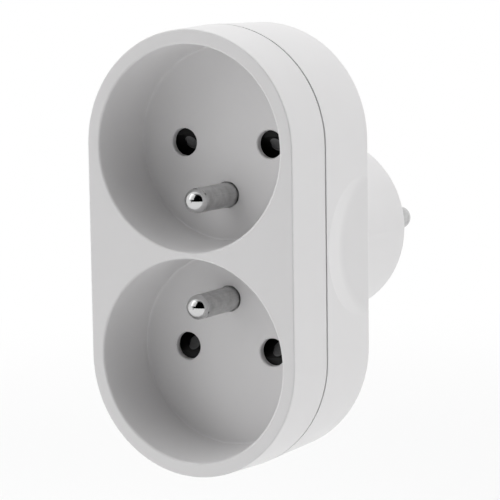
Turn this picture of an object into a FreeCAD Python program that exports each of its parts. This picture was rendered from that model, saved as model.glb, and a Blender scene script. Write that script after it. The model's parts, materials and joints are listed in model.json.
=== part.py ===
import FreeCAD, Part
import math
import os

# A double wall-socket adapter: one earthed plug at the back, two earthed sockets with
# safety shutters at the front, one above the other.
# Millimetres. +Z is up and +Y points into the wall. Everything is built with its depth
# counted from the front face, then set so that the origin is the centre of the plug's face.

# Standard plug and socket sizes
live_spacing = 19.0        # between the two live pins or holes
earth_offset = 10.0        # from the line of the live pins to the earth pin
pin_radius = 2.4
plug_pin_length = 19.0
earth_pin_length = 14.0
plug_radius = 18.5
plug_body_length = 18.6    # from the rear face of the case to the plug's face
live_hole_clearance = 0.35
earth_hole_clearance = 0.2

# Wells of the two sockets
well_floor_radius = 19.0
well_draft = 0.6           # how much wider the mouth is, each side
well_land = 1.2            # least width of the front face between the two mouths
well_depth = 15.0
well_floor_thickness = 1.4
well_wall = 1.4
well_mouth_round = 0.4
well_floor_round = 0.4
hole_edge_round = 0.2

# Case
well_side_clearance = 0.4  # between the wells and the inside of the rear shell
case_wall = 2.0
front_wall = 2.4
rear_wall = 1.8
front_draft = 0.65         # how much narrower the front face is than the seam, each side
rear_draft = 0.05
end_shift = 0.2            # from a well's middle out to that of the case's rounded end
seam_depth = 11.9
seam_gap = 0.6
bevel = 7.8
front_edge_round = 0.3
rear_edge_round = 1.2
plug_edge_round = 0.5
plug_root_flare = 0.3
plug_root_length = 1.0     # of the root's taper, behind the rear face
tongue_clearance = 0.3
tongue_length = 2.5
tongue_thickness = 1.2
rib_thickness = 1.2        # of the ribs behind the front face, between the wells

# Finger scoops in the two sides
scoop_reach = 14.6         # forward from the rear edge
scoop_half_height = 13.2   # at the rear edge
scoop_slope_width = 4.0
scoop_depth = 1.0
scoop_blend = 8.0          # between the floor and the slope

# Earth pins of the sockets
earth_neck_step = 0.2
earth_collar_lap = 1.2     # of the collar over the hole in the well's floor
earth_collar_length = 1.4
tail_radius = 1.5
peened_lap = 0.7
peened_height = 0.6
peened_round = 0.35

# Sheet brass
earth_sheet = 0.8
earth_leg_clearance = 1.1  # from the earth strip's leg to the troughs
earth_strip_end_margin = 3.2
earth_leg_width = 6.4
earth_bend_radius = 0.8
busbar_sheet = 0.8
busbar_side_clearance = 0.4
busbar_end_margin = 3.4

# Slotted contacts
contact_pin_play = 0.02
contact_wall = 0.58
contact_mouth_edge = 0.2
contact_mouth_length = 0.8
contact_floor = 0.5
contact_slot = 0.8
contact_slot_margin = 1.8  # uncut length in front of the bore's floor
ring_groove_start = 1.8
ring_groove_length = 1.3
ring_groove_depth = 0.2
ring_thickness = 0.45
ring_gap = 1.4
ring_clearance = 0.15
pin_tip_clearance = 0.2

# Shutters
shutter_gap = 0.15
shutter_depth = 4.35
shutter_block_half_width = 4.3
shutter_cover_below = 3.6
shutter_cover_above = 3.4
shutter_land = 2.05
shutter_lip = 1.7
shutter_pin_clearance = 0.2
shutter_side_clearance = 0.2
shutter_bridge_height = 2.8
shutter_bridge_inset = 0.6
shutter_dimple_radius = 1.35
shutter_dimple_depth = 0.3
peg_radius = 1.3
peg_length = 1.7
spring_closed_length = 3.6
spring_wire = 0.45
spring_peg_play = 0.155
spring_turns = 6

# Shutter retainers, staked on posts of the front shell
retainer_gap = 0.3
retainer_thickness = 1.4
retainer_rail = 1.4
retainer_below = 4.6
retainer_spare = 0.8       # of its rails past the open shutter
retainer_flange = 3.3
retainer_case_clearance = 0.3
retainer_tongue_half_width = 2.9
retainer_seat_thickness = 1.4
retainer_hole_clearance = 0.6
post_inset = 1.3           # from the retainer's flange edge line to the post's middle
post_radius = 1.1
post_head_lap = 0.6
post_head_height = 0.7
post_head_round = 0.4
post_clearance = 0.1

# Contact cover
cover_gap = 1.6
cover_thickness = 1.2
cover_edge_clearance = 0.4
cover_hole_clearance = 0.7
cover_pad_radius = 1.2
cover_pad_offset = 6.0
cover_slot_clearance = 0.6
cover_boss_clearance = 0.3

# Troughs of the rear shell around the busbars and contacts
trough_wall = 1.0
trough_end_clearance = 0.4
busbar_seat_height = 1.1
seat_rib_width = 0.8
seat_rib_offset = 2.9      # from a contact's middle to the rib's middle
contact_end_gap = 0.4      # between the cover and the mouths of the contacts

# Plug pins and the plug's earth contact
plug_pin_shank_step = 0.2
plug_pin_relief_depth = 0.5  # of the recess in the plug's face round each pin
plug_pin_relief_clearance = 0.05
plug_pin_collar_lap = 0.8
plug_pin_tail_step = 0.5
plug_pin_peened_lap = 0.9
plug_pin_tube_wall = 1.2
plug_end_wall = 2.0
press_clearance = 0.02
plug_earth_inset = 2.2     # plug face to the mouth of its earth contact
plug_earth_spare_depth = 0.6
plug_earth_collar_lap = 0.4
plug_earth_collar_length = 1.0
plug_earth_boss_wall = 1.2

# Case screws
screw_radius = 1.45
screw_head_lap = 1.25
screw_head_height = 1.9
screw_head_round = 0.8
screw_recess_depth = 6.0   # rear face to the seat of the head
screw_end_clearance = 2.6
screw_point_radius = 0.7
screw_boss_wall = 1.45
screw_boss_side_gap = 0.2
screw_boss_end_gap = 0.3
screw_boss_reach = 1.2     # past the back of the contact cover
screw_pilot_spare = 1.0
screw_tube_wall = 1.0
screw_recess_clearance = 0.2
screw_hole_clearance = 0.15
screw_joint_gap = 0.1
screw_drive_radius = 1.3
screw_drive_width = 0.7
screw_drive_depth = 1.1

# Widths and heights that follow from the sizes above
live_x = live_spacing / 2
live_hole_radius = pin_radius + live_hole_clearance
earth_hole_radius = pin_radius + earth_hole_clearance
well_mouth_radius = well_floor_radius + well_draft
well_centre = well_mouth_radius + well_land / 2
cup_radius = well_floor_radius + well_wall
end_centre = well_centre + end_shift
inside_half_width = cup_radius + well_side_clearance
rear_half_width = inside_half_width + case_wall
seam_half_width = rear_half_width + rear_draft
front_half_width = seam_half_width - front_draft
plug_root_radius = plug_radius + plug_root_flare
earth_z = well_centre - earth_offset
earth_neck_radius = pin_radius - earth_neck_step
earth_collar_radius = earth_hole_radius + earth_collar_lap
peened_radius = tail_radius + peened_lap
contact_bore_radius = pin_radius + contact_pin_play
contact_radius = contact_bore_radius + contact_wall
contact_mouth_radius = contact_radius - contact_mouth_edge
ring_radius = contact_radius - ring_groove_depth + ring_thickness
trough_half_width = ring_radius + ring_clearance
trough_end = well_centre + busbar_end_margin + trough_end_clearance
busbar_half_width = trough_half_width - busbar_side_clearance
earth_leg_x = live_x - trough_half_width - trough_wall - earth_leg_clearance - earth_sheet
plug_pin_shank_radius = pin_radius - plug_pin_shank_step
plug_pin_collar_radius = plug_pin_shank_radius + plug_pin_collar_lap
plug_pin_tail_radius = plug_pin_shank_radius - plug_pin_tail_step
plug_pin_peened_radius = plug_pin_tail_radius + plug_pin_peened_lap
plug_pin_tube_radius = plug_pin_shank_radius + plug_pin_tube_wall
plug_earth_bore_radius = ring_radius + ring_clearance
plug_earth_collar_radius = plug_earth_bore_radius + plug_earth_collar_lap
shutter_half_width = live_x + shutter_block_half_width
shutter_travel = shutter_cover_below + pin_radius + shutter_pin_clearance
spring_room = spring_closed_length + shutter_travel
spring_mean_radius = peg_radius + spring_peg_play + spring_wire / 2
retainer_above = shutter_cover_above + shutter_travel + retainer_spare
rail_inside = shutter_half_width + shutter_side_clearance
retainer_half_width = rail_inside + retainer_rail + retainer_flange
retainer_hole_radius = pin_radius + retainer_hole_clearance
post_x = retainer_half_width - post_inset
post_head_radius = post_radius + post_head_lap
cover_hole_radius = pin_radius + cover_hole_clearance
screw_head_radius = screw_radius + screw_head_lap
screw_boss_radius = screw_radius + screw_boss_wall
screw_offset = retainer_tongue_half_width + screw_boss_side_gap + screw_boss_radius
screw_z = well_centre + retainer_above + screw_boss_end_gap + screw_boss_radius
recess_radius = screw_head_radius + screw_recess_clearance

# Depths that follow, from the front to the plug's face
floor_back = well_depth + well_floor_thickness
earth_strip_front = floor_back + earth_collar_length
earth_strip_back = earth_strip_front + earth_sheet
shutter_front = floor_back + shutter_gap
shutter_back = shutter_front + shutter_depth
shutter_middle = (shutter_front + shutter_back) / 2
retainer_front = shutter_back + retainer_gap
retainer_back = retainer_front + retainer_thickness
cover_front = retainer_back + cover_gap
cover_back = cover_front + cover_thickness
contact_front = cover_back + contact_end_gap
contact_bore_end = well_depth + plug_pin_length + pin_tip_clearance
busbar_front = contact_bore_end + contact_floor
busbar_back = busbar_front + busbar_sheet
rear_inside = busbar_back + busbar_seat_height
rear_face_depth = rear_inside + rear_wall
rear_edge_depth = rear_face_depth - bevel
plug_face_depth = rear_face_depth + plug_body_length
plug_earth_mouth = plug_face_depth - plug_earth_inset
plug_earth_bore_end = plug_face_depth - earth_pin_length - plug_earth_spare_depth
earth_tab_back = plug_earth_bore_end - contact_floor
earth_tab_front = earth_tab_back - earth_sheet
screw_joint_depth = cover_back + screw_boss_reach
screw_seat_depth = rear_face_depth - screw_recess_depth
screw_end_depth = floor_back + screw_end_clearance

OUT = 1000.0                # beyond the adapter on every side
OVER = 1.0                  # how far a cutter runs past the surface it cuts


def vec(x, y, z):
    return FreeCAD.Vector(x, y, z)


def outline(corners):
    """Closed wire in the XY plane through corners (x, y, radius), each rounded by its radius."""
    count = len(corners)
    starts = []
    edges = []
    for i in range(count):
        here = vec(corners[i][0], corners[i][1], 0)
        radius = corners[i][2]
        if radius == 0:
            starts.append((here, here))
            continue
        before = corners[i - 1]
        after = corners[(i + 1) % count]
        back = (vec(before[0], before[1], 0) - here).normalize()
        ahead = (vec(after[0], after[1], 0) - here).normalize()
        half = back.getAngle(ahead) / 2
        reach = radius / math.tan(half)
        enter = here + back * reach
        leave = here + ahead * reach
        middle = here + (back + ahead).normalize() * (radius / math.sin(half) - radius)
        edges.append(Part.Arc(enter, middle, leave).toShape())
        starts.append((enter, leave))
    for i in range(count):
        leave = starts[i][1]
        enter = starts[(i + 1) % count][0]
        if leave.distanceToPoint(enter) > 1e-6:
            edges.append(Part.LineSegment(leave, enter).toShape())
    return Part.Wire(Part.__sortEdges__(edges))


def turned(corners, x=0.0, z=0.0):
    """Solid of revolution about the depth axis through (x, z); corners are (radius, depth, round)."""
    solid = Part.Face(outline(corners)).revolve(vec(0, 0, 0), vec(0, 1, 0), 360)
    solid.translate(vec(x, 0, z))
    return solid


def cylinder(radius, front, back, x=0.0, z=0.0):
    return Part.makeCylinder(radius, back - front, vec(x, front, z), vec(0, 1, 0))


def box(x0, x1, front, back, z0, z1):
    return Part.makeBox(x1 - x0, back - front, z1 - z0, vec(x0, front, z0))


def capsule(corners, centre):
    """Stadium-shaped solid: a half-section (half width, depth, round) carried round two ends."""
    face = Part.Face(outline(corners))
    top = face.revolve(vec(0, 0, 0), vec(0, 1, 0), -180)
    top.translate(vec(0, 0, centre))
    bottom = face.revolve(vec(0, 0, 0), vec(0, 1, 0), 180)
    bottom.translate(vec(0, 0, -centre))
    side = face.extrude(vec(0, 0, 2 * centre))
    side.translate(vec(0, 0, -centre))
    other = side.mirror(vec(0, 0, 0), vec(1, 0, 0))
    return top.multiFuse([bottom, side, other]).removeSplitter()


def both_ends(shape):
    """The shape and its copy mirrored to the lower socket."""
    return [shape, shape.mirror(vec(0, 0, 0), vec(0, 0, 1))]


def both_sides(shape):
    return [shape, shape.mirror(vec(0, 0, 0), vec(1, 0, 0))]


def four_corners(shape):
    return [copy for one in both_sides(shape) for copy in both_ends(one)]


def fused(shapes):
    return shapes[0].multiFuse(shapes[1:]).removeSplitter()


def well(side):
    """Space of one socket well, with its rounded mouth and floor corner."""
    corners = [
        (0, -OVER, 0),
        (well_mouth_radius + well_mouth_round, -OVER, 0),
        (well_mouth_radius + well_mouth_round, 0, 0),
        (well_mouth_radius, 0, 0),
        (well_floor_radius, well_depth, well_floor_round),
        (0, well_depth, 0),
    ]
    space = turned(corners, 0, side * well_centre)
    # the mouth's rounding is a ring-shaped corner cut with a convex arc
    r, e = well_mouth_radius, well_mouth_round
    lip = [
        Part.LineSegment(vec(r - e, -e, 0), vec(r + e, -e, 0)).toShape(),
        Part.LineSegment(vec(r + e, -e, 0), vec(r + e, 0, 0)).toShape(),
        Part.Arc(vec(r + e, 0, 0), vec(r + e * (1 - math.sin(math.pi / 4)),
                 e * (1 - math.cos(math.pi / 4)), 0), vec(r, e, 0)).toShape(),
        Part.LineSegment(vec(r, e, 0), vec(r - e, e, 0)).toShape(),
        Part.LineSegment(vec(r - e, e, 0), vec(r - e, -e, 0)).toShape(),
    ]
    ring = Part.Face(Part.Wire(lip)).revolve(vec(0, 0, 0), vec(0, 1, 0), 360)
    ring.translate(vec(0, 0, side * well_centre))
    return space.fuse(ring)


def round_hole(radius, x, z):
    """Hole through a well's floor with a softened front edge."""
    corners = [
        (0, well_depth - OVER, 0),
        (radius + hole_edge_round, well_depth - OVER, 0),
        (radius + hole_edge_round, well_depth, 0),
        (radius, well_depth + hole_edge_round, 0),
        (radius, floor_back + OVER, 0),
        (0, floor_back + OVER, 0),
    ]
    return turned(corners, x, z)


def front_shell():
    skin = capsule([
        (0, 0, 0),
        (front_half_width, 0, front_edge_round),
        (seam_half_width, seam_depth, 0),
        (0, seam_depth, 0),
    ], end_centre)
    tongue_half_width = inside_half_width - tongue_clearance
    tongue_depth = seam_depth + tongue_length
    tongue = capsule([
        (0, front_wall, 0),
        (tongue_half_width, front_wall, 0),
        (tongue_half_width, tongue_depth, 0),
        (0, tongue_depth, 0),
    ], end_centre)
    cups = both_ends(cylinder(cup_radius, front_wall, floor_back, 0, well_centre))
    body = fused([skin, tongue] + cups)

    pocket_half_width = tongue_half_width - tongue_thickness
    pocket = box(-pocket_half_width, pocket_half_width, front_wall, floor_back + OVER,
                 -well_centre, well_centre)
    rib = box(-pocket_half_width, pocket_half_width, front_wall, tongue_depth,
              -rib_thickness / 2, rib_thickness / 2)
    body = body.cut(pocket.cut(cups[0].multiFuse([cups[1], rib])))

    bosses = four_corners(cylinder(screw_boss_radius, floor_back - well_floor_thickness / 2,
                                   screw_joint_depth - screw_joint_gap, screw_offset, screw_z))
    post = cylinder(post_radius, floor_back - well_floor_thickness / 2, retainer_back, post_x, well_centre)
    head = turned([
        (0, retainer_back, 0),
        (post_head_radius, retainer_back, 0),
        (post_head_radius, retainer_back + post_head_height, post_head_round),
        (0, retainer_back + post_head_height, 0),
    ], post_x, well_centre)
    body = body.multiFuse(bosses + four_corners(post.fuse(head)))

    pilot = cylinder(screw_radius + press_clearance, screw_end_depth - screw_pilot_spare,
                     screw_joint_depth, screw_offset, screw_z)
    cutters = [well(1), well(-1)]
    cutters += four_corners(pilot)
    cutters += four_corners(round_hole(live_hole_radius, live_x, well_centre))
    cutters += both_ends(cylinder(earth_hole_radius, well_depth - OVER, floor_back + OVER, 0, earth_z))
    return body.cut(fused(cutters)).removeSplitter()


def scoop():
    """Cutter for the finger scoop in the +X side: a round flat dish, tilted about the rear edge.

    The dish's floor runs out at the rear edge, where it is as wide as the scoop, so the dish's
    middle lies behind that edge.
    """
    floor_reach = scoop_reach - scoop_slope_width
    behind = (scoop_half_height**2 - floor_reach**2) / (2 * floor_reach)
    floor_radius = floor_reach + behind
    tilt = math.degrees(math.atan(scoop_depth / floor_reach))
    height = 2 * scoop_depth
    rim_radius = floor_radius + scoop_slope_width / scoop_depth * height
    dish = turned([
        (0, 0, 0),
        (floor_radius, 0, scoop_blend),
        (rim_radius, height, 0),
        (0, height, 0),
    ])
    dish.rotate(vec(0, 0, 0), vec(0, 0, 1), -90)
    dish.translate(vec(0, behind, 0))
    dish.rotate(vec(0, 0, 0), vec(0, 0, 1), -tilt)
    dish.translate(vec(rear_half_width, rear_edge_depth, 0))
    return dish


def trough_walls():
    """Insulating walls round one busbar and its contacts; they reach down into the plug."""
    inner = trough_half_width
    outer = trough_half_width + trough_wall
    deep = plug_face_depth - plug_end_wall / 2
    block = box(live_x - outer, live_x + outer, cover_back, deep,
                -trough_end - trough_wall, trough_end + trough_wall)
    hollow = box(live_x - inner, live_x + inner, cover_back - OVER, deep + OVER, -trough_end, trough_end)
    walls = [block.cut(hollow)]
    for offset in (-seat_rib_offset, seat_rib_offset):
        middle = well_centre + offset
        rib = box(live_x - inner, live_x + inner, busbar_back, rear_face_depth,
                  middle - seat_rib_width / 2, middle + seat_rib_width / 2)
        walls += both_ends(rib)
    tube = cylinder(plug_pin_tube_radius, rear_inside, deep, live_x, 0)
    return walls + [tube]


def rear_shell():
    start = seam_depth + seam_gap
    skin = capsule([
        (0, start, 0),
        (seam_half_width, start, 0),
        (rear_half_width, rear_edge_depth, rear_edge_round),
        (rear_half_width - bevel, rear_face_depth, rear_edge_round),
        (0, rear_face_depth, 0),
    ], end_centre)
    nose = turned([
        (0, rear_edge_depth, 0),
        (plug_root_radius, rear_edge_depth, 0),
        (plug_root_radius, rear_face_depth, 0),
        (plug_radius, rear_face_depth + plug_root_length, 0),
        (plug_radius, plug_face_depth, plug_edge_round),
        (0, plug_face_depth, 0),
    ])

    inner_edge_depth = rear_edge_depth - (rear_wall - case_wall * (math.sqrt(2) - 1))
    inner_slope = rear_inside - inner_edge_depth
    cavity = capsule([
        (0, start - OVER, 0),
        (inside_half_width, start - OVER, 0),
        (inside_half_width, inner_edge_depth, rear_edge_round),
        (inside_half_width - inner_slope, rear_inside, 0),
        (0, rear_inside, 0),
    ], end_centre)
    nose_bore = cylinder(plug_radius - case_wall, rear_inside - OVER, plug_face_depth - plug_end_wall)

    ribs = []
    for shape in trough_walls():
        ribs += both_sides(shape)
    tube_radius = recess_radius + screw_tube_wall
    ribs += four_corners(cylinder(tube_radius, screw_joint_depth, rear_face_depth,
                                  screw_offset, screw_z))
    boss_start = plug_earth_bore_end + plug_earth_collar_length
    ribs.append(cylinder(plug_earth_bore_radius + plug_earth_boss_wall, boss_start,
                         plug_face_depth, 0, earth_offset))

    body = skin.fuse(nose).removeSplitter()
    hollow = cavity.fuse(nose_bore)
    for rib in ribs:
        hollow = hollow.cut(rib)
    body = body.cut(hollow)

    cutters = four_corners(cylinder(screw_radius + screw_hole_clearance, screw_joint_depth - OVER,
                                    screw_seat_depth + OVER, screw_offset, screw_z))
    cutters += four_corners(cylinder(recess_radius, screw_seat_depth, rear_face_depth + OVER,
                                     screw_offset, screw_z))
    cutters += both_sides(cylinder(plug_pin_shank_radius + press_clearance, rear_inside - OVER,
                                   plug_face_depth + OVER, live_x, 0))
    cutters += both_sides(cylinder(pin_radius + plug_pin_relief_clearance,
                                   plug_face_depth - plug_pin_relief_depth,
                                   plug_face_depth + OVER, live_x, 0))
    cutters.append(cylinder(plug_earth_bore_radius, boss_start - OVER, plug_earth_mouth,
                            0, earth_offset))
    cutters.append(cylinder(earth_hole_radius, plug_earth_mouth - OVER, plug_face_depth + OVER,
                            0, earth_offset))
    cutters += both_sides(scoop())
    return body.cut(fused(cutters)).removeSplitter()


def contact(mouth, bore_end, collar_radius, tail_length):
    """Turned and slotted female contact, its mouth towards the front, with a peened tail."""
    base = bore_end + contact_floor
    tail_end = base + tail_length
    groove = mouth + ring_groove_start
    body = turned([
        (contact_bore_radius, bore_end, 0),
        (contact_bore_radius, mouth + contact_mouth_length, 0),
        (contact_mouth_radius, mouth, 0),
        (contact_radius, mouth, 0),
        (contact_radius, groove, 0),
        (contact_radius - ring_groove_depth, groove, 0),
        (contact_radius - ring_groove_depth, groove + ring_groove_length, 0),
        (contact_radius, groove + ring_groove_length, 0),
        (contact_radius, bore_end - contact_floor, 0),
        (collar_radius, bore_end - contact_floor, 0),
        (collar_radius, base, 0),
        (tail_radius, base, 0),
        (tail_radius, tail_end, 0),
        (peened_radius, tail_end, 0),
        (peened_radius, tail_end + peened_height, peened_round),
        (0, tail_end + peened_height, 0),
        (0, bore_end, 0),
    ])
    slot = box(-contact_slot / 2, contact_slot / 2, mouth - OVER, bore_end - contact_slot_margin,
               -OUT, OUT)
    return body.cut(slot)


def clamp_ring(mouth):
    """Open steel spring ring that presses a contact's two halves together."""
    inside = contact_radius - ring_groove_depth
    front = mouth + ring_groove_start
    ring = cylinder(ring_radius, front, front + ring_groove_length)
    ring = ring.cut(cylinder(inside, front - OVER, front + ring_groove_length + OVER))
    gap = box(-ring_gap / 2, ring_gap / 2, front - OVER, front + ring_groove_length + OVER, 0, OUT)
    return ring.cut(gap)


def turned_about(shape, depth):
    """The shape turned to face the other way, about an upright axis at a depth."""
    shape.rotate(vec(0, depth, 0), vec(0, 0, 1), 180)
    return shape


def placed(shape, x, z):
    shape.translate(vec(x, 0, z))
    return shape


def socket_contact(x, z):
    body = contact(contact_front, contact_bore_end, contact_radius, busbar_sheet)
    return placed(body, x, z)


def plug_earth_contact():
    middle = (plug_earth_mouth + plug_earth_bore_end) / 2
    mouth = 2 * middle - plug_earth_mouth
    bore_end = 2 * middle - plug_earth_bore_end
    body = contact(mouth, bore_end, plug_earth_collar_radius, earth_sheet)
    return placed(turned_about(body, middle), 0, earth_offset)


def clamp_rings():
    rings = []
    for x in (-live_x, live_x):
        for z in (-well_centre, well_centre):
            rings.append(placed(clamp_ring(contact_front), x, z))
    middle = (plug_earth_mouth + plug_earth_bore_end) / 2
    ring = turned_about(clamp_ring(2 * middle - plug_earth_mouth), middle)
    rings.append(placed(ring, 0, earth_offset))
    return Part.Compound(rings)


def earth_pin(side):
    """Socket earth pin: domed, with a collar behind the well floor and a peened tail."""
    tip = well_depth - earth_pin_length
    return turned([
        (0, tip, 0),
        (pin_radius, tip, pin_radius),
        (pin_radius, well_depth, 0),
        (earth_neck_radius, well_depth, 0),
        (earth_neck_radius, floor_back, 0),
        (earth_collar_radius, floor_back, 0),
        (earth_collar_radius, earth_strip_front, 0),
        (tail_radius, earth_strip_front, 0),
        (tail_radius, earth_strip_back, 0),
        (peened_radius, earth_strip_back, 0),
        (peened_radius, earth_strip_back + peened_height, peened_round),
        (0, earth_strip_back + peened_height, 0),
    ], 0, side * earth_z)


def quarter_bend(x, depth, right, back):
    """Quarter of a bent sheet about an upright axis at (x, depth), on the given sides of it."""
    outer = earth_bend_radius + earth_sheet
    ring = Part.makeCylinder(outer, earth_leg_width, vec(x, depth, earth_offset - earth_leg_width / 2))
    core = Part.makeCylinder(earth_bend_radius, earth_leg_width + 2 * OVER,
                             vec(x, depth, earth_offset - earth_leg_width / 2 - OVER))
    keep = box(x if right else x - outer, x + outer if right else x,
               depth if back else depth - outer, depth + outer if back else depth,
               -OUT, OUT)
    return ring.cut(core).common(keep)


def earth_strip():
    """One bent sheet: a plate under both socket earth pins, a leg and a tab for the plug contact."""
    reach = earth_z + earth_strip_end_margin
    low = earth_offset - earth_leg_width / 2
    high = earth_offset + earth_leg_width / 2
    leg_x = earth_leg_x
    front_axis = earth_strip_back + earth_bend_radius
    rear_axis = earth_tab_front - earth_bend_radius
    inner_x = leg_x - earth_bend_radius
    pieces = [
        box(-leg_x, inner_x, earth_strip_front, earth_strip_back, -reach, reach),
        quarter_bend(inner_x, front_axis, True, False),
        box(leg_x, leg_x + earth_sheet, front_axis, rear_axis, low, high),
        quarter_bend(inner_x, rear_axis, True, True),
        box(-leg_x, inner_x, earth_tab_front, earth_tab_back, low, high),
    ]
    strip = fused(pieces)
    holes = both_ends(cylinder(tail_radius, 0, earth_tab_front - OVER, 0, earth_z))
    holes.append(cylinder(tail_radius, earth_tab_front - OVER, plug_face_depth, 0, earth_offset))
    for hole in holes:
        strip = strip.cut(hole)
    return strip


def busbar(side):
    reach = well_centre + busbar_end_margin
    bar = box(live_x - busbar_half_width, live_x + busbar_half_width,
              busbar_front, busbar_back, -reach, reach)
    for z in (-well_centre, well_centre):
        bar = bar.cut(cylinder(tail_radius, 0, OUT, live_x, z))
    bar = bar.cut(cylinder(plug_pin_tail_radius, 0, OUT, live_x, 0))
    return bar if side > 0 else bar.mirror(vec(0, 0, 0), vec(1, 0, 0))


def plug_pin(side):
    tip = plug_face_depth + plug_pin_length
    return turned([
        (0, busbar_front - peened_height, 0),
        (plug_pin_peened_radius, busbar_front - peened_height, peened_round),
        (plug_pin_peened_radius, busbar_front, 0),
        (plug_pin_tail_radius, busbar_front, 0),
        (plug_pin_tail_radius, busbar_back, 0),
        (plug_pin_collar_radius, busbar_back, 0),
        (plug_pin_collar_radius, rear_inside, 0),
        (plug_pin_shank_radius, rear_inside, 0),
        (plug_pin_shank_radius, plug_face_depth, 0),
        (pin_radius, plug_face_depth, 0),
        (pin_radius, tip, pin_radius),
        (0, tip, 0),
    ], side * live_x, 0)


def shutter():
    """Upper shutter: a ramp under each live hole, joined by a bridge with a spring peg."""
    top = shutter_cover_above
    low = -shutter_cover_below
    lip = shutter_back - shutter_lip
    profile = [
        vec(0, shutter_front, top),
        vec(0, shutter_front, top - shutter_land),
        vec(0, lip, low + shutter_lip),
        vec(0, lip, low),
        vec(0, shutter_back, low),
        vec(0, shutter_back, top),
        vec(0, shutter_front, top),
    ]
    block = Part.Face(Part.makePolygon(profile)).extrude(vec(2 * shutter_block_half_width, 0, 0))
    block.translate(vec(live_x - shutter_block_half_width, 0, 0))
    ramp_run = vec(0, lip - shutter_front, low + shutter_lip - top + shutter_land)
    normal = vec(0, ramp_run.z, -ramp_run.y).normalize()
    centre = vec(live_x, shutter_front, top - shutter_land) + ramp_run * 0.5
    dimple = Part.makeCylinder(shutter_dimple_radius, 2 * shutter_dimple_depth,
                               centre + normal * shutter_dimple_depth, normal * -1)
    block = block.cut(dimple)
    inner = live_x - shutter_block_half_width
    bridge = box(-inner, inner, shutter_front + shutter_bridge_inset,
                 shutter_back - shutter_bridge_inset, top - shutter_bridge_height, top)
    peg = Part.makeCylinder(peg_radius, peg_length, vec(0, shutter_middle, top))
    body = fused(both_sides(block) + [bridge, peg])
    body.translate(vec(0, 0, well_centre))
    return body


def retainer():
    """Upper shutter retainer: a plate on two rails, with a tongue that carries the spring seat."""
    top = shutter_cover_above + spring_room
    plate = box(-retainer_half_width, retainer_half_width, retainer_front, retainer_back,
                -retainer_below, retainer_above)
    rail = box(rail_inside, rail_inside + retainer_rail, floor_back, retainer_front,
               -retainer_below, retainer_above)
    half = retainer_tongue_half_width
    tongue = box(-half, half, retainer_front, retainer_back, 0, top + retainer_seat_thickness)
    seat = box(-half, half, floor_back, retainer_back, top, top + retainer_seat_thickness)
    peg = Part.makeCylinder(peg_radius, peg_length, vec(0, shutter_middle, top - peg_length))
    body = fused([plate, tongue, seat, peg] + both_sides(rail))
    body = body.common(cylinder(inside_half_width - retainer_case_clearance, 0, OUT, 0, end_shift))
    holes = both_sides(cylinder(retainer_hole_radius, 0, OUT, live_x, 0))
    holes += both_sides(cylinder(post_radius + post_clearance, 0, OUT, post_x, 0))
    for hole in holes:
        body = body.cut(hole)
    body.translate(vec(0, 0, well_centre))
    return body


def spring():
    """Upper return spring, between the shutter's bridge and the retainer's seat."""
    height = spring_room - spring_wire
    helix = Part.makeHelix(height / spring_turns, height, spring_mean_radius)
    section = Part.Wire(Part.makeCircle(spring_wire / 2, vec(spring_mean_radius, 0, 0), vec(0, 1, 0)))
    coil = Part.Wire(helix.Edges).makePipeShell([section], True, True)
    low = well_centre + shutter_cover_above + spring_wire / 2
    coil.translate(vec(0, shutter_middle, low))
    return coil


def contact_cover():
    half = inside_half_width - cover_edge_clearance
    plate = capsule([
        (0, cover_front, 0),
        (half, cover_front, 0),
        (half, cover_back, 0),
        (0, cover_back, 0),
    ], end_centre)
    pad = cylinder(cover_pad_radius, retainer_back, cover_front, post_x,
                   well_centre + cover_pad_offset)
    plate = plate.multiFuse(four_corners(pad))
    leg = earth_leg_x
    slack = cover_slot_clearance
    holes = four_corners(cylinder(cover_hole_radius, 0, OUT, live_x, well_centre))
    holes += four_corners(cylinder(screw_boss_radius + cover_boss_clearance, 0, OUT,
                                   screw_offset, screw_z))
    holes.append(box(leg - slack, leg + earth_sheet + slack, 0, OUT,
                     earth_offset - earth_leg_width / 2 - slack,
                     earth_offset + earth_leg_width / 2 + slack))
    for hole in holes:
        plate = plate.cut(hole)
    return plate


def case_screw():
    """Self-tapping screw with a cross recess; its thread is left plain."""
    end = screw_end_depth
    top = screw_seat_depth + screw_head_height
    body = turned([
        (0, end, 0),
        (screw_point_radius, end, 0),
        (screw_radius, end + screw_radius, 0),
        (screw_radius, screw_seat_depth, 0),
        (screw_head_radius, screw_seat_depth, 0),
        (screw_head_radius, top, screw_head_round),
        (0, top, 0),
    ])
    arm = screw_drive_radius
    half = screw_drive_width / 2
    deep = top - screw_drive_depth
    body = body.cut(box(-arm, arm, deep, top + OVER, -half, half))
    body = body.cut(box(-half, half, deep, top + OVER, -arm, arm))
    return placed(body, screw_offset, screw_z)


def write(name, shape):
    shape = shape.copy()
    shape.translate(vec(0, -plug_face_depth, 0))
    shape.exportStep(os.path.join("parts", name + ".step"))
    print(name, len(shape.Solids), shape.isValid(), round(shape.Volume, 1))


def main():
    os.makedirs("parts", exist_ok=True)
    write("front_shell", front_shell())
    write("rear_shell", rear_shell())
    write("contact_cover", contact_cover())
    write("case_screws", Part.Compound(four_corners(case_screw())))
    for name, shape in (("shutter", shutter()), ("shutter_retainer", retainer()),
                        ("shutter_spring", spring())):
        for end, copy in zip(("upper", "lower"), both_ends(shape)):
            write(end + "_" + name, copy)
    for end, side in (("upper", 1), ("lower", -1)):
        write(end + "_earth_pin", earth_pin(side))
        write(end + "_live_contact", socket_contact(live_x, side * well_centre))
        write(end + "_neutral_contact", socket_contact(-live_x, side * well_centre))
    for pole, side in (("live", 1), ("neutral", -1)):
        write(pole + "_busbar", busbar(side))
        write(pole + "_plug_pin", plug_pin(side))
    write("earth_strip", earth_strip())
    write("plug_earth_contact", plug_earth_contact())
    write("contact_clamp_rings", clamp_rings())


main()
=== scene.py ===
import json
import math

import bmesh
import bpy
from mathutils import Matrix, Vector


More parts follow.
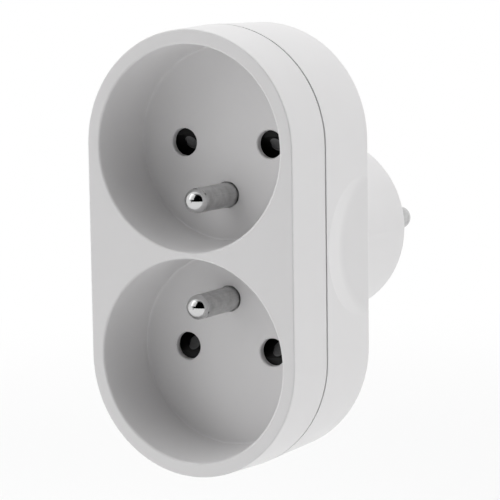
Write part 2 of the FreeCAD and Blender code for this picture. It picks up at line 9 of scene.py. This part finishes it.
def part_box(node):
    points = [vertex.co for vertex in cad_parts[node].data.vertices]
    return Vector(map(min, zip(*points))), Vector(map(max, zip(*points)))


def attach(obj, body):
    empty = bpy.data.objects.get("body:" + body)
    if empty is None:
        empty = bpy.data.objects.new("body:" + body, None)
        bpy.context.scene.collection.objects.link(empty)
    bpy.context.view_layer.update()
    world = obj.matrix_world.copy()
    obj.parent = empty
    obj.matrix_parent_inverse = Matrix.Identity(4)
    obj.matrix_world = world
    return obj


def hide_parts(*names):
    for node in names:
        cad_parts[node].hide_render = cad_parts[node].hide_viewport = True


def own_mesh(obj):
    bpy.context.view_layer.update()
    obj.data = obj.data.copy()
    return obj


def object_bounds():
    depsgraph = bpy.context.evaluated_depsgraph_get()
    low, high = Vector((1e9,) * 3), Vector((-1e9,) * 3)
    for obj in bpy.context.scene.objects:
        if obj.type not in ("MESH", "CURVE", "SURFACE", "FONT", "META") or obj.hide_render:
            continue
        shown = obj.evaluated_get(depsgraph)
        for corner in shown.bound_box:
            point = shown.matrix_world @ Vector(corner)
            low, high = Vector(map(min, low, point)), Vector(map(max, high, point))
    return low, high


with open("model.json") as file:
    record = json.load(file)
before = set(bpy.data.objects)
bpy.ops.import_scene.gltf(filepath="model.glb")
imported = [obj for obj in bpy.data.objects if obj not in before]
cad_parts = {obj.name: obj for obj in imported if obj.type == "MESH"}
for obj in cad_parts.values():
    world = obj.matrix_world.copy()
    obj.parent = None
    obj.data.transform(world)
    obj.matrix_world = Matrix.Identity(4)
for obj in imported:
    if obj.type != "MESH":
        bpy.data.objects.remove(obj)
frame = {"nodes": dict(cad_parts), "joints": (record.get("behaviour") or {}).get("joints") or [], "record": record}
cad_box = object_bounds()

# A double wall-socket adapter. Metres and degrees; +Z is up, the sockets face -Y and the plug +Y.
# An azimuth of 0 is in front of the sockets and 90 is to their right.

MICRON = 0.000001

# Return springs of the two shutters
WIRE = 0.00045
WIRE_SIDES = 16
SPRING_TURNS = 6.5
STEPS_PER_TURN = 28
GROUND_OFF = 0.15          # share of the wire that is ground flat at each end

# Round seats in the shutters' ramps, each with a pale disc painted on it as a highlight
SEAT_RADIUS = 0.00135
SEAT_BELOW_HOLE = 0.000275  # from a live hole's middle towards the adapter's middle
SEAT_EDGE = 0.00008

# Polished ends of the metal pins
POLISHED_TIP = 0.0018
TIP_BLEND = 0.0008

# Camera
LENS_MM = 150.70
SENSOR_MM = 36
CAMERA_AZIMUTH = 29.05
CAMERA_ELEVATION = 7.27
CAMERA_ROLL = -0.854
CAMERA_OFFSET = (-0.00059, -0.00180, 0.41626)
MIDDLE = Vector((0, -0.032, 0))

# Soft box, high in front on the left
BOX_AZIMUTH = -25
BOX_ELEVATION = 34
BOX_DISTANCE = 0.7
BOX_SIZE = 0.6
BOX_POWER = 0.88

# Room: its light, and how much less of it comes from behind and from the left
ROOM_LIGHT = 1.68
REAR_SHADE = 0.75
LEFT_SHADE = 0.75

# The adapter hangs in its wall socket, so the floor lies below it
FLOOR_DROP = 0.045
FLOOR_RADIUS = 1.0
PAPER_END = 0.12           # from here on, the paper fades into the room
ROOM_START = 0.45


class Value:
    """A shader socket. Arithmetic on it adds Math nodes to its tree."""

    def __init__(self, nodes, socket):
        self.nodes = nodes
        self.socket = socket

    def maths(self, operation, first, second):
        return self.nodes.add("Math", {"operation": operation}, {0: first, 1: second})

    def __add__(self, other):
        return self.maths("ADD", self, other)

    def __radd__(self, other):
        return self.maths("ADD", other, self)

    def __sub__(self, other):
        return self.maths("SUBTRACT", self, other)

    def __rsub__(self, other):
        return self.maths("SUBTRACT", other, self)

    def __mul__(self, other):
        return self.maths("MULTIPLY", self, other)

    def __rmul__(self, other):
        return self.maths("MULTIPLY", other, self)


class Nodes:
    """The node tree of a finish or of the room's light."""

    def __init__(self, owner):
        owner.use_nodes = True
        self.tree = owner.node_tree

    def feed(self, socket, value):
        if isinstance(value, Value):
            self.tree.links.new(value.socket, socket)
        else:
            socket.default_value = value

    def add(self, kind, settings=None, inputs=None, output=0):
        node = self.tree.nodes.new("ShaderNode" + kind)
        for name, setting in (settings or {}).items():
            if name == "stops":
                ramp = node.color_ramp
                while len(ramp.elements) < len(setting):
                    ramp.elements.new(1.0)
                for element, (place, level) in zip(ramp.elements, setting):
                    element.position = place
                    element.color = (level, level, level, 1)
            else:
                setattr(node, name, setting)
        for name, value in (inputs or {}).items():
            self.feed(node.inputs[name], value)
        return Value(self, node.outputs[output])

    def noise(self, place, scale, detail=2.0, roughness=0.5):
        return self.add("TexNoise", None, {"Vector": place, "Scale": scale, "Detail": detail,
                                           "Roughness": roughness})

    def scaled(self, place, stretch):
        return self.add("Mapping", None, {"Vector": place, "Scale": stretch})

    def part(self, vector, index):
        """X, Y or Z of a vector."""
        return self.add("SeparateXYZ", None, {0: vector}, index)

    def blend(self, share, first, second):
        """Colour between two colours."""
        return self.add("Mix", {"data_type": "RGBA"}, {"Factor": share, 6: first, 7: second}, 2)

    def bump(self, height, depth, under=None):
        inputs = {"Height": height, "Distance": depth, "Strength": 1.0}
        if under:
            inputs["Normal"] = under
        return self.add("Bump", None, inputs)


def mount_place(name):
    """Where the record puts a mount."""
    mount = next(mount for mount in frame["record"]["mounts"] if mount["name"] == name)
    return Vector(mount["pos_m"])


def joint_travel(name):
    """How far a sliding joint goes from rest."""
    joint = next(joint for joint in frame["joints"] if joint["name"] == name)
    return joint["range_m"][1]


def finish(name, **sockets):
    """A material with its Principled shader's sockets set; returns both with its nodes."""
    material = bpy.data.materials.new(name)
    nodes = Nodes(material)
    shader = nodes.tree.nodes["Principled BSDF"]
    for socket, value in sockets.items():
        shader.inputs[socket.replace("_", " ")].default_value = value
    return material, nodes, shader


def moulded_plastic(name, colour, shade, roughness, grain):
    """Injection-moulded plastic: sparked grain, faint flow marks and an uneven satin sheen."""
    material, nodes, shader = finish(name, IOR=1.5)
    place = nodes.add("TexCoord", output="Object")
    cloud = nodes.noise(place, 55, 3)
    flow = nodes.noise(nodes.scaled(place, (1, 0.25, 1)), 210, 4, 0.6)
    pits = nodes.noise(place, 5200, 2)
    specks = nodes.add("TexVoronoi", None, {"Vector": place, "Scale": 1500})
    nodes.feed(shader.inputs["Base Color"], nodes.blend(0.6 * cloud + 0.4 * flow, colour, shade))
    nodes.feed(shader.inputs["Roughness"], roughness + 0.10 * cloud + 0.06 * flow - 0.08)
    waves = nodes.bump(cloud, 20 * MICRON)
    skin = nodes.bump(pits + 0.5 * specks, grain, waves)
    nodes.feed(shader.inputs["Normal"], skin)
    return material


def turned_metal(name, colour, shade, roughness, groove, stain):
    """Turned and plated metal: fine rings about the Y axis, dulled in patches."""
    material, nodes, shader = finish(name, Metallic=1.0)
    place = nodes.add("TexCoord", output="Object")
    rings = nodes.noise(nodes.scaled(place, (0.06, 1, 0.06)), 9000, 3, 0.6)
    cloud = nodes.noise(place, 420, 4, 0.6)
    dull = nodes.add("ValToRGB", {"stops": [(0.35, 0.0), (0.75, 1.0)]}, {0: cloud})
    nodes.feed(shader.inputs["Base Color"], nodes.blend(stain * dull + 0.3 * rings, colour, shade))
    nodes.feed(shader.inputs["Roughness"], roughness + 0.12 * rings + 0.12 * dull - 0.06)
    nodes.feed(shader.inputs["Normal"], nodes.bump(rings, groove))
    return material


def sheet_metal(name, colour, shade, roughness):
    """Rolled and stamped sheet: rolling lines up its length, fine scratches and tarnish."""
    material, nodes, shader = finish(name, Metallic=1.0)
    place = nodes.add("TexCoord", output="Object")
    lines = nodes.noise(nodes.scaled(place, (1, 1, 0.03)), 6000, 3, 0.6)
    cloud = nodes.noise(place, 160, 5, 0.65)
    tarnish = nodes.add("ValToRGB", {"stops": [(0.42, 0.0), (0.7, 1.0)]}, {0: cloud})
    nodes.feed(shader.inputs["Base Color"], nodes.blend(0.7 * tarnish + 0.3 * lines, colour, shade))
    nodes.feed(shader.inputs["Roughness"], roughness + 0.14 * lines + 0.16 * tarnish - 0.07)
    nodes.feed(shader.inputs["Normal"], nodes.bump(lines, 3 * MICRON))
    return material


def shutter_plastic():
    """Black moulding with a pale disc painted on the round seat in each ramp that a plug's pin presses on: a
    painted highlight, and rougher there.
    """
    material, nodes, shader = finish("black_moulding", IOR=1.45, Specular_IOR_Level=0.3)
    place = nodes.add("TexCoord", output="Object")
    across = nodes.add("Math", {"operation": "ABSOLUTE"}, {0: nodes.part(place, 0)})
    along = nodes.add("Math", {"operation": "ABSOLUTE"}, {0: nodes.part(place, 2)})
    hole = mount_place("upper_live_hole")
    seat_z = hole.z - SEAT_BELOW_HOLE
    seat = nodes.add("CombineXYZ", None, {0: across - hole.x, 1: along - seat_z, 2: 0.0})
    away = nodes.add("VectorMath", {"operation": "LENGTH"}, {0: seat}, "Value")
    # Mask of the painted highlight: 1 on each seat, fading to 0 at its edge.
    seat_highlight_and_finishes = nodes.add("MapRange", {"interpolation_type": "SMOOTHSTEP"},
                     {"Value": away, "From Min": SEAT_RADIUS - SEAT_EDGE, "From Max": SEAT_RADIUS,
                      "To Min": 1.0, "To Max": 0.0})
    highlight_mottle = nodes.noise(place, 2600, 4, 0.65)
    # Painted highlight: the seat is painted a paler grey, mottled by noise.
    colour = nodes.blend(seat_highlight_and_finishes * (0.55 + 0.6 * highlight_mottle), (0.006, 0.006, 0.006, 1), (0.19, 0.19, 0.194, 1))
    nodes.feed(shader.inputs["Base Color"], colour)
    nodes.feed(shader.inputs["Roughness"], 0.30 + 0.22 * seat_highlight_and_finishes + 0.10 * highlight_mottle)
    pits = nodes.noise(place, 5200, 2)
    nodes.feed(shader.inputs["Normal"], nodes.bump(pits, 1.5 * MICRON))
    return material


def nickel_pin():
    """Nickel-plated pin: a drawn, finely scratched shaft and a polished rounded tip."""
    material, nodes, shader = finish("nickel_pin", Metallic=1.0)
    place = nodes.add("TexCoord", output="Object")
    depth = nodes.part(place, 1)
    earth_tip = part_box("upper_earth_pin")[0].y + POLISHED_TIP
    plug_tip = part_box("live_plug_pin")[1].y - POLISHED_TIP
    front = nodes.add("MapRange", {"interpolation_type": "SMOOTHSTEP"},
                      {"Value": depth, "From Min": earth_tip, "From Max": earth_tip + TIP_BLEND,
                       "To Min": 1.0, "To Max": 0.0})
    back = nodes.add("MapRange", {"interpolation_type": "SMOOTHSTEP"},
                     {"Value": depth, "From Min": plug_tip - TIP_BLEND, "From Max": plug_tip})
    tip = front + back
    rings = nodes.noise(nodes.scaled(place, (0.06, 1, 0.06)), 9000, 3, 0.6)
    drawn = nodes.noise(nodes.scaled(place, (1, 0.04, 1)), 4200, 3, 0.6)
    cloud = nodes.noise(place, 520, 4, 0.6)
    dull = nodes.add("ValToRGB", {"stops": [(0.35, 0.0), (0.75, 1.0)]}, {0: cloud})
    shade = (0.5 * dull + 0.5 * drawn) * (1 - 0.8 * tip)
    nodes.feed(shader.inputs["Base Color"], nodes.blend(shade, (0.64, 0.64, 0.64, 1), (0.34, 0.34, 0.34, 1)))
    nodes.feed(shader.inputs["Roughness"], 0.08 + (1 - tip) * (0.16 + 0.10 * drawn + 0.08 * dull))
    nodes.feed(shader.inputs["Normal"], nodes.bump((rings + drawn) * (1 - tip), 2 * MICRON))
    return material


def dress_nodes():
    """Finishes of the pieces that the solid model already shapes."""
    shell = moulded_plastic("white_moulding", (0.76, 0.754, 0.757, 1), (0.74, 0.732, 0.736, 1),
                            0.33, 1.2 * MICRON)
    inner = moulded_plastic("ivory_moulding", (0.72, 0.68, 0.57, 1), (0.66, 0.61, 0.49, 1),
                            0.42, 2 * MICRON)
    black = shutter_plastic()
    pin = nickel_pin()
    contact = turned_metal("brass_contact", (0.80, 0.58, 0.27, 1), (0.58, 0.38, 0.17, 1),
                           0.28, 4 * MICRON, 0.7)
    strip = sheet_metal("brass_strip", (0.79, 0.57, 0.26, 1), (0.52, 0.34, 0.16, 1), 0.30)
    zinc = turned_metal("zinc_screw", (0.66, 0.67, 0.68, 1), (0.42, 0.43, 0.45, 1),
                        0.32, 3 * MICRON, 0.8)
    ring = sheet_metal("spring_steel", (0.38, 0.38, 0.40, 1), (0.20, 0.20, 0.23, 1), 0.34)
    seat_highlight_and_finishes = {
        "front_shell": shell, "rear_shell": shell, "contact_cover": inner, "case_screws": zinc,
        "live_busbar": strip, "neutral_busbar": strip, "earth_strip": strip,
        "live_plug_pin": pin, "neutral_plug_pin": pin, "plug_earth_contact": contact,
        "contact_clamp_rings": ring,
    }
    for end in ("upper", "lower"):
        seat_highlight_and_finishes[end + "_shutter"] = black
        seat_highlight_and_finishes[end + "_shutter_retainer"] = inner
        seat_highlight_and_finishes[end + "_earth_pin"] = pin
        seat_highlight_and_finishes[end + "_live_contact"] = contact
        seat_highlight_and_finishes[end + "_neutral_contact"] = contact
    for name, material in seat_highlight_and_finishes.items():
        for slot in frame["nodes"][name].material_slots:
            slot.material = material


def piece(name, bm, material, body, slot, *nodes):
    """The finished mesh as a piece that rides on a body and stands for solid nodes."""
    bmesh.ops.recalc_face_normals(bm, faces=bm.faces)
    mesh = bpy.data.meshes.new(name)
    bm.to_mesh(mesh)
    bm.free()
    mesh.shade_smooth()
    mesh.materials.append(material)
    made = bpy.data.objects.new(name, mesh)
    bpy.context.scene.collection.objects.link(made)
    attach(made, body)
    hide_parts(*nodes)
    return made


def wind_spring(low, top):
    """Upper return spring between two corners: a closed, ground turn at each end, open ones between."""
    radius = (top.x - low.x - WIRE) / 2
    depth = (low.y + top.y) / 2
    bm = bmesh.new()
    start = Matrix.Translation((radius, depth, low.z + WIRE / 2))
    section = bmesh.ops.create_circle(bm, cap_ends=True, segments=WIRE_SIDES, radius=WIRE / 2,
                                      matrix=start @ Matrix.Rotation(math.pi / 2, 4, "X"))
    edges = list({edge for vert in section["verts"] for edge in vert.link_edges})
    rise = top.z - low.z - WIRE
    for turns, climb in ((1, WIRE), (SPRING_TURNS - 2, rise - 2 * WIRE), (1, WIRE)):
        count = round(STEPS_PER_TURN * turns)
        spun = bmesh.ops.spin(bm, geom=edges, cent=(0, depth, 0), axis=(0, 0, 1),
                              dvec=(0, 0, climb / count), angle=2 * math.pi * turns, steps=count)
        edges = [item for item in spun["geom_last"] if isinstance(item, bmesh.types.BMEdge)]
    bmesh.ops.holes_fill(bm, edges=edges, sides=0)
    ground = GROUND_OFF * WIRE
    for level, up in ((low.z + ground, -1), (top.z - ground, 1)):
        bmesh.ops.bisect_plane(bm, geom=bm.verts[:] + bm.edges[:] + bm.faces[:],
                               plane_co=(0, 0, level), plane_no=(0, 0, up), clear_outer=True)
        open_edges = [edge for edge in bm.edges if edge.is_boundary]
        bmesh.ops.holes_fill(bm, edges=open_edges, sides=0)
    return bm


def make_springs():
    """Return springs of the two shutters, the lower one turned upside down."""
    steel = turned_metal("spring_wire", (0.55, 0.55, 0.57, 1), (0.34, 0.34, 0.37, 1), 0.28, 2 * MICRON, 0.6)
    low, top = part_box("upper_shutter_spring")
    for end, side in (("upper", 1), ("lower", -1)):
        bm = wind_spring(low, top)
        if side < 0:
            bmesh.ops.rotate(bm, verts=bm.verts, cent=(0, (low.y + top.y) / 2, 0),
                             matrix=Matrix.Rotation(math.pi, 3, "Y"))
        spring = piece(end + "_return_spring", bm, steel, "housing", "steel", end + "_shutter_spring")
        slide = end + "_shutter_slide"
        1 - joint_travel(slide) / (top.z - low.z)
        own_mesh(spring)


def place_camera():
    """Camera where the photograph was taken from."""
    data = bpy.data.cameras.new("camera")
    data.sensor_width = SENSOR_MM
    data.lens = LENS_MM
    camera = bpy.data.objects.new("camera", data)
    bpy.context.scene.collection.objects.link(camera)
    camera.matrix_world = (
        Matrix.Translation(MIDDLE)
        @ Matrix.Rotation(math.radians(CAMERA_AZIMUTH), 4, "Z")
        @ Matrix.Rotation(math.radians(90 - CAMERA_ELEVATION), 4, "X")
        @ Matrix.Rotation(math.radians(CAMERA_ROLL), 4, "Z")
        @ Matrix.Translation(CAMERA_OFFSET)
    )
    bpy.context.scene.camera = camera


def direction(azimuth, elevation):
    """Unit vector from the adapter towards an azimuth and an elevation."""
    turn = math.radians(azimuth)
    rise = math.radians(elevation)
    return Vector((math.sin(turn) * math.cos(rise), -math.cos(turn) * math.cos(rise), math.sin(rise)))


def soft_box():
    """Square soft box turned towards the adapter."""
    data = bpy.data.lights.new("front_box", "AREA")
    data.shape = "SQUARE"
    data.size = BOX_SIZE
    data.energy = BOX_POWER
    lamp = bpy.data.objects.new("front_box", data)
    bpy.context.scene.collection.objects.link(lamp)
    way = direction(BOX_AZIMUTH, BOX_ELEVATION)
    lamp.matrix_world = (Matrix.Translation(MIDDLE + way * BOX_DISTANCE)
                         @ way.to_track_quat("Z", "Y").to_matrix().to_4x4())
    lamp.visible_camera = False


def light_room():
    """White room, unlit in front on the right, and dimmer behind and on the left."""
    world = bpy.data.worlds.new("room")
    bpy.context.scene.world = world
    nodes = Nodes(world)
    background = nodes.tree.nodes["Background"]
    way = nodes.add("TexCoord", output="Generated")

    def zone(azimuth, elevation, inner, outer):
        """1 within the inner angle of a direction, falling to 0 at the outer angle."""
        along = nodes.add("VectorMath", {"operation": "DOT_PRODUCT"},
                          {0: way, 1: direction(azimuth, elevation)}, "Value")
        return nodes.add("MapRange", {"interpolation_type": "SMOOTHSTEP"},
                         {"Value": along, "From Min": math.cos(math.radians(outer)),
                          "From Max": math.cos(math.radians(inner))})

    behind = zone(200, 0, 25, 80)
    left = zone(-105, 0, 30, 70)
    lit_side = 1 - zone(29, 7, 45, 75)
    light = ROOM_LIGHT - REAR_SHADE * behind - LEFT_SHADE * left
    seen = nodes.add("LightPath", output="Is Camera Ray")
    mirrored = nodes.add("LightPath", output="Is Glossy Ray")
    nodes.feed(background.inputs["Color"], (1, 1, 1, 1))
    nodes.feed(background.inputs["Strength"], seen + lit_side * (mirrored + light * (1 - seen - mirrored)))


def lay_floor():
    """Round sheet of paper below the adapter."""
    bm = bmesh.new()
    bmesh.ops.create_circle(bm, cap_ends=True, segments=96, radius=FLOOR_RADIUS,
                            matrix=Matrix.Translation((0, MIDDLE.y, cad_box[0][2] - FLOOR_DROP)))
    mesh = bpy.data.meshes.new("floor")
    bm.to_mesh(mesh)
    bm.free()
    floor = bpy.data.objects.new("floor", mesh)
    bpy.context.scene.collection.objects.link(floor)
    mesh.materials.append(floor_paper())


def floor_paper():
    """White paper, seen white right out to where it fades into the room."""
    material, nodes, shader = finish("floor_paper", Base_Color=(0.90, 0.90, 0.90, 1), Roughness=0.9)
    place = nodes.add("TexCoord", output="Object")
    away = nodes.add("VectorMath", {"operation": "LENGTH"}, {0: place}, "Value")
    edge = nodes.add("MapRange", {"interpolation_type": "SMOOTHSTEP"},
                     {"Value": away, "From Min": PAPER_END, "From Max": ROOM_START})
    seen = nodes.add("LightPath", output="Is Camera Ray")
    mirrored = nodes.add("LightPath", output="Is Glossy Ray")
    white = nodes.add("Emission", None, {"Color": (1, 1, 1, 1), "Strength": 1.0})
    mixed = nodes.add("MixShader", None, {0: (seen + mirrored) * edge,
                                          1: Value(nodes, shader.outputs[0]), 2: white})
    nodes.feed(nodes.tree.nodes["Material Output"].inputs["Surface"], mixed)
    return material


def main():
    scene = bpy.context.scene
    scene.view_settings.view_transform = "Standard"
    place_camera()
    soft_box()
    light_room()
    lay_floor()
    dress_nodes()
    make_springs()
    bpy.context.view_layer.update()


main()
